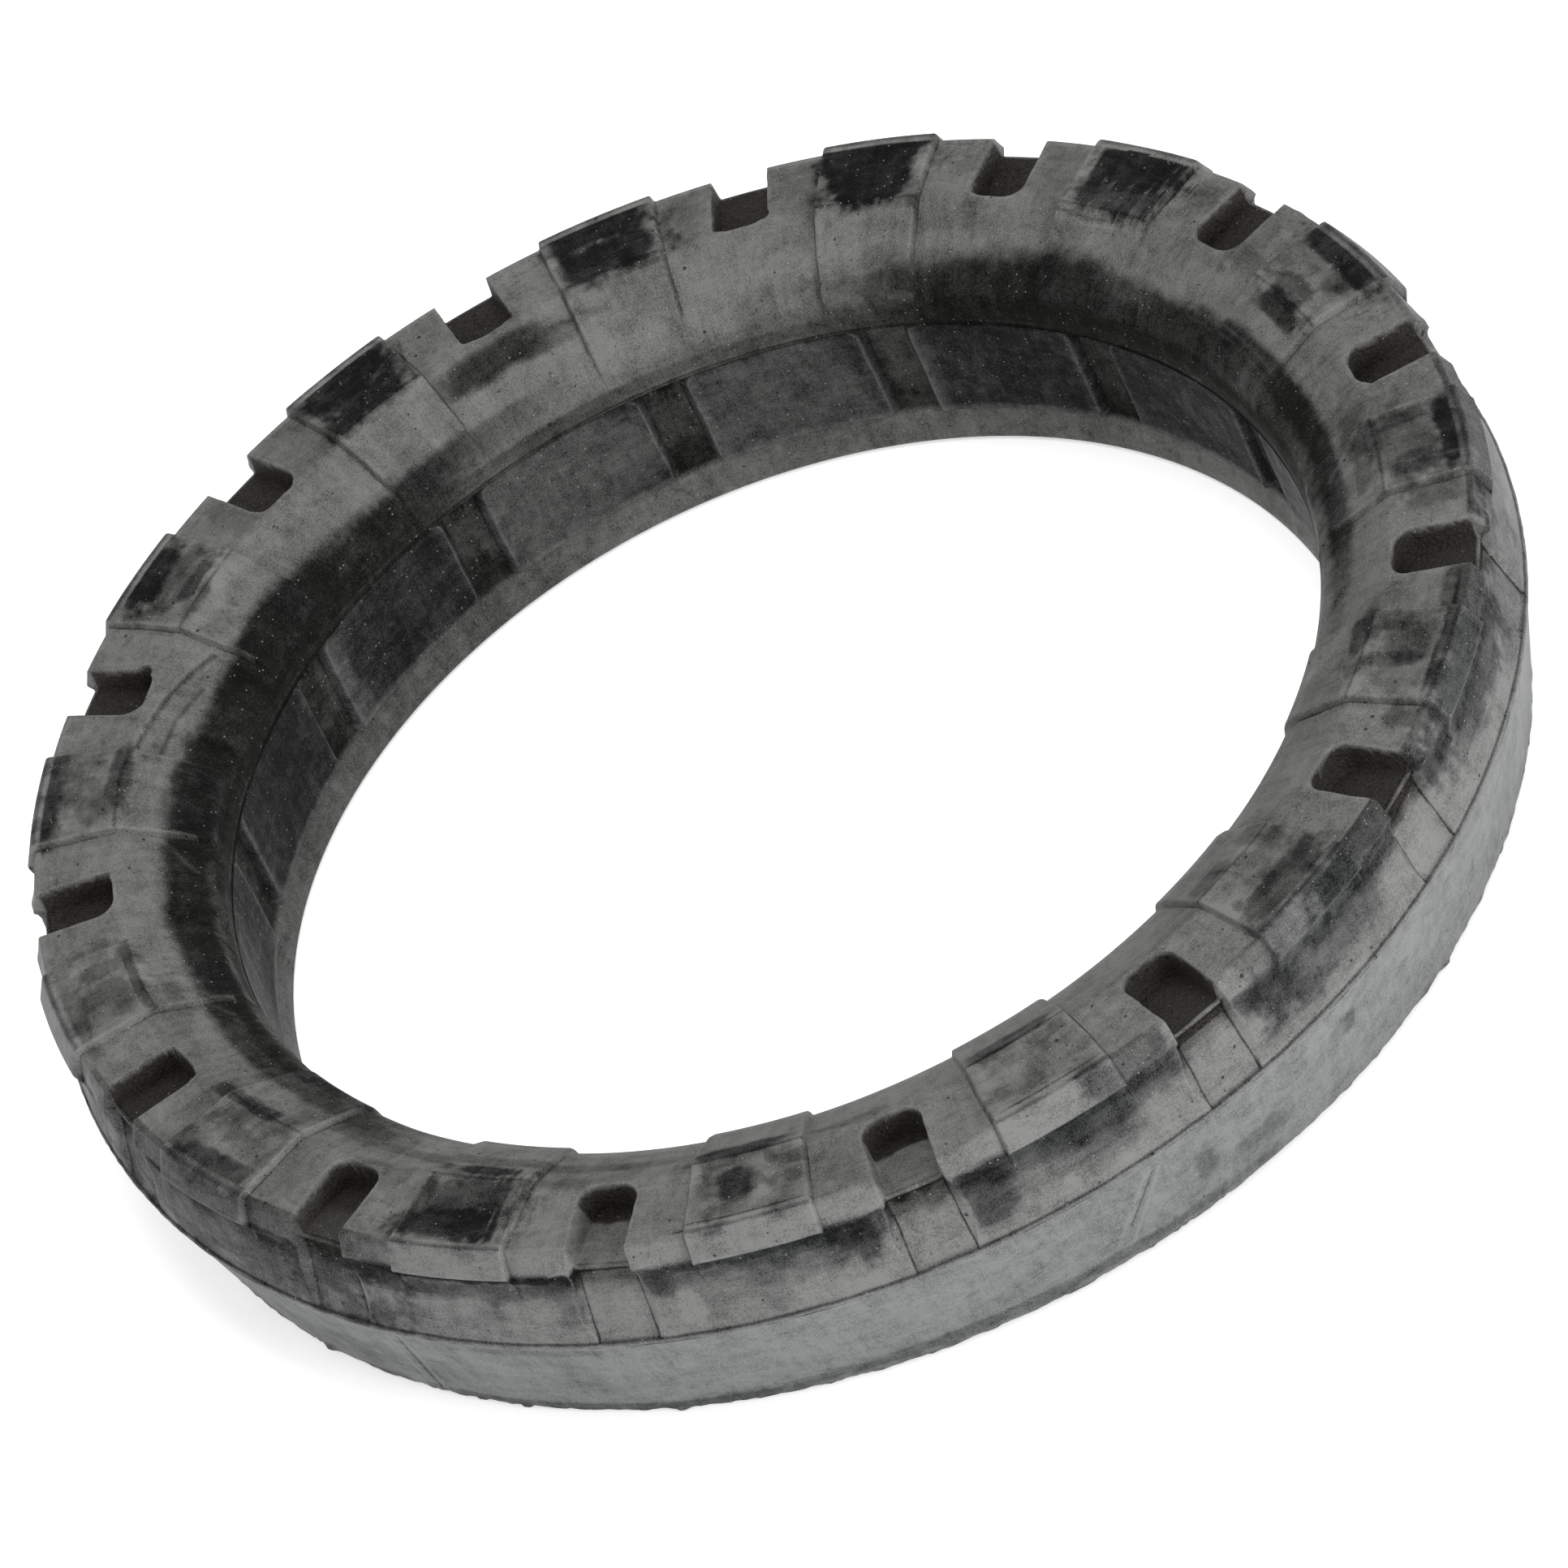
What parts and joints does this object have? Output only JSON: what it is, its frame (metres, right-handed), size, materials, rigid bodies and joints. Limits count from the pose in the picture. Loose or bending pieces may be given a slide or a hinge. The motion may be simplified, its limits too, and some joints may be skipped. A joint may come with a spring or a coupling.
{
  "type": "rubber track ring",
  "caption": "Endless moulded rubber track ring with a lugged, slotted front face, a plain back face and a grooved bore that grips a drive wheel.",
  "frame": {"origin": "centre of the flat back face, on the ring's axis", "axes": "+Z along the ring's axis towards the lugged front face; +X through the middle of one tread slot"},
  "size_m": [0.35, 0.35, 0.0592],
  "materials": {
    "tread_rubber": "dull moulded black rubber with a grey bloom",
    "back_rubber": "smooth moulded black rubber with a blue-grey bloom",
    "lug_rubber": "dull moulded black rubber, blotched",
    "pad_rubber": "smooth dark moulded rubber",
    "core_rubber": "plain black rubber",
    "bead_wire": "drawn wire",
    "steel_cord": "twisted wire cord",
    "textile_cord": "woven cord ply"
  },
  "bodies": {
    "root": {"front_tread_cover": "tread_rubber", "back_cover": "back_rubber", "tread_lug_01": "lug_rubber", "tread_lug_02": "lug_rubber", "tread_lug_03": "lug_rubber", "tread_lug_04": "lug_rubber", "tread_lug_05": "lug_rubber", "tread_lug_06": "lug_rubber", "tread_lug_07": "lug_rubber", "tread_lug_08": "lug_rubber", "tread_lug_09": "lug_rubber", "tread_lug_10": "lug_rubber", "tread_lug_11": "lug_rubber", "tread_lug_12": "lug_rubber", "tread_lug_13": "lug_rubber", "tread_lug_14": "lug_rubber", "tread_lug_15": "lug_rubber", "drive_pad_01": "pad_rubber", "drive_pad_02": "pad_rubber", "drive_pad_03": "pad_rubber", "drive_pad_04": "pad_rubber", "drive_pad_05": "pad_rubber", "drive_pad_06": "pad_rubber", "drive_pad_07": "pad_rubber", "drive_pad_08": "pad_rubber", "drive_pad_09": "pad_rubber", "drive_pad_10": "pad_rubber", "drive_pad_11": "pad_rubber", "drive_pad_12": "pad_rubber", "drive_pad_13": "pad_rubber", "drive_pad_14": "pad_rubber", "drive_pad_15": "pad_rubber", "core_ring": "core_rubber", "bead_hoop_front": "bead_wire", "bead_hoop_back": "bead_wire", "steel_cord_belt": "steel_cord", "textile_ply": "textile_cord"}
  },
  "joints": []
}
